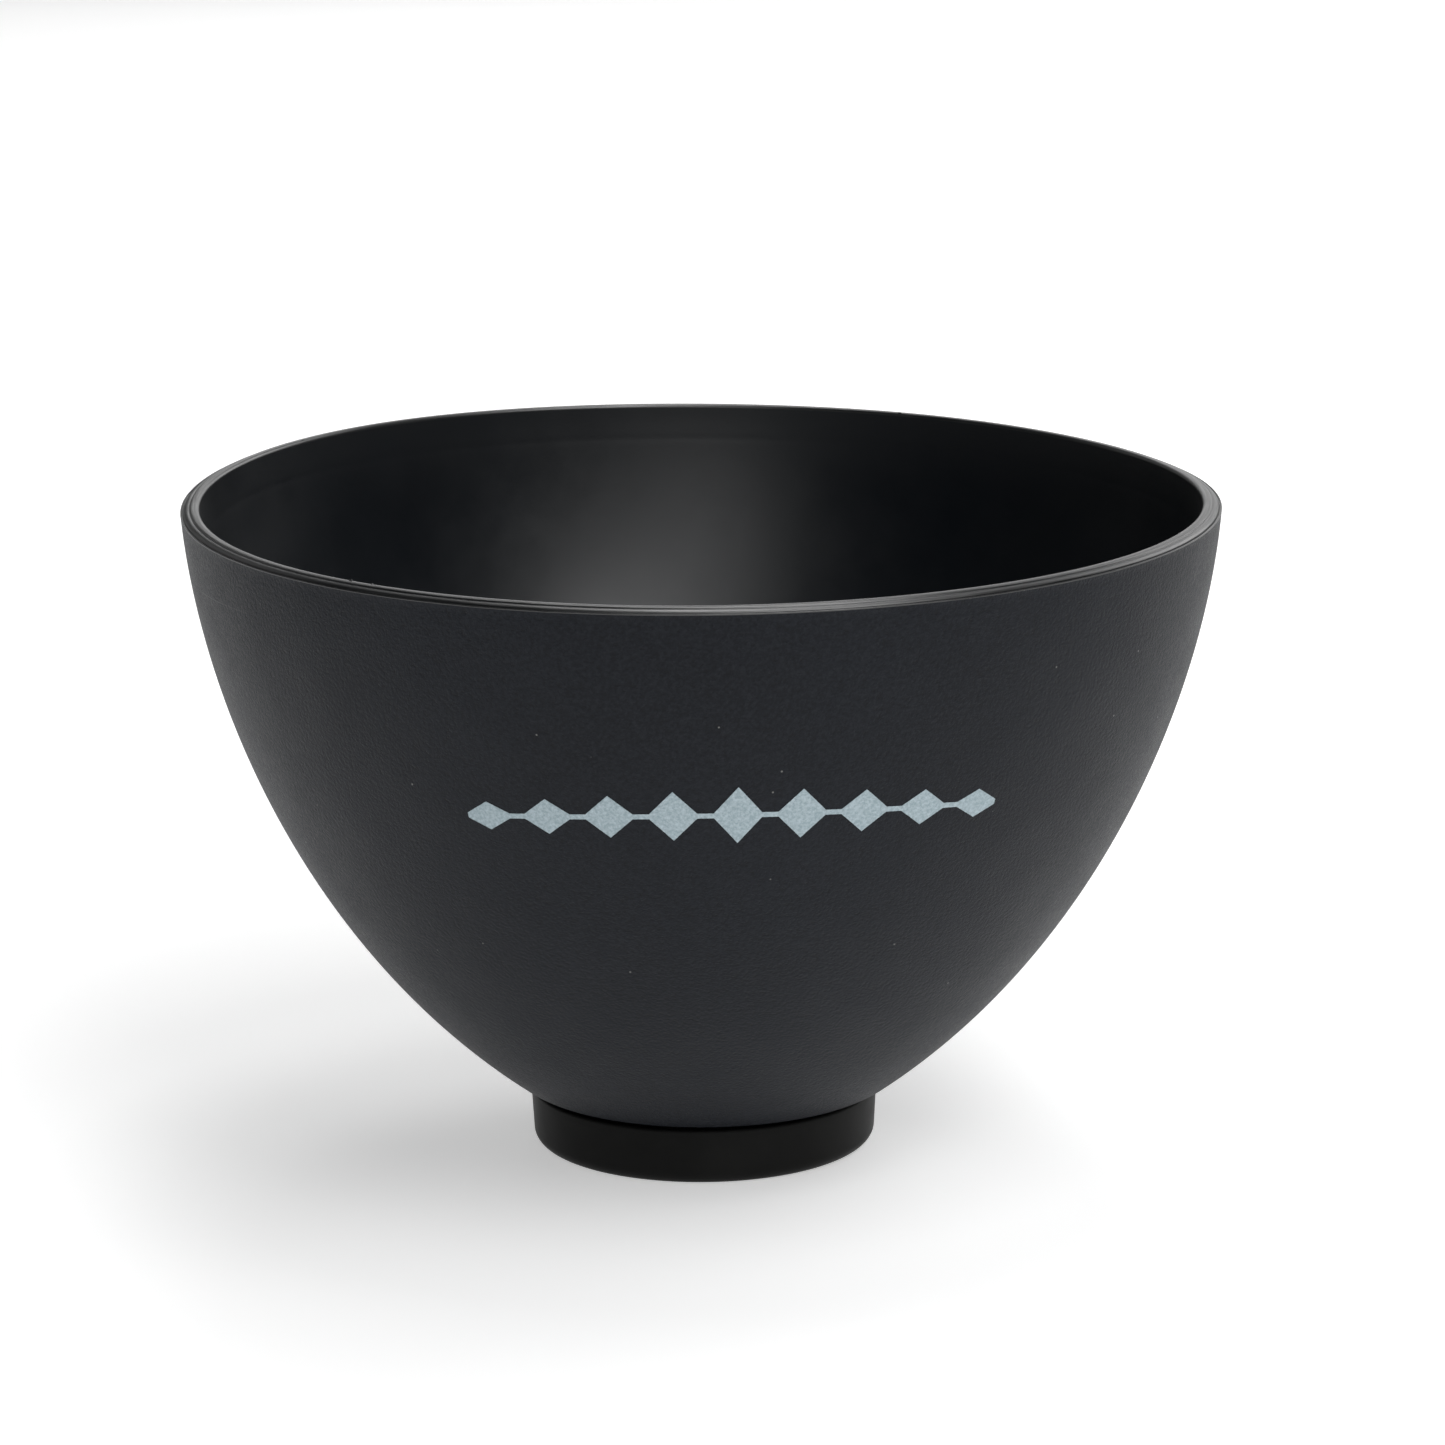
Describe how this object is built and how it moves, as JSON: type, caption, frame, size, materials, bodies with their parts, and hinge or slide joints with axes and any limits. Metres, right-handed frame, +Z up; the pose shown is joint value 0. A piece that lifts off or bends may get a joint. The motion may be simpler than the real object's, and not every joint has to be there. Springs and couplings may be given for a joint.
{
  "type": "mixing bowl",
  "caption": "Flexible rubber mixing bowl for hair colour or skin masks: a deep curved wall with a rounded rim on a low foot ring, with a plain printed band.",
  "frame": {"origin": "centre of the foot ring's resting face", "axes": "+Z up along the bowl's axis; -Y points out of the front, through the middle of the printed band; +X to the right of someone facing the front"},
  "size_m": [0.12, 0.12, 0.0768],
  "materials": {
    "wall_rubber": "matte outside with a fine grain, satin inside and on the rim",
    "ring_rubber": "smooth satin",
    "print_ink": "thin matte screen-printed ink"
  },
  "bodies": {
    "root": {"bowl_body": "wall_rubber", "foot_ring": "ring_rubber", "printed_band": "print_ink"}
  },
  "joints": []
}
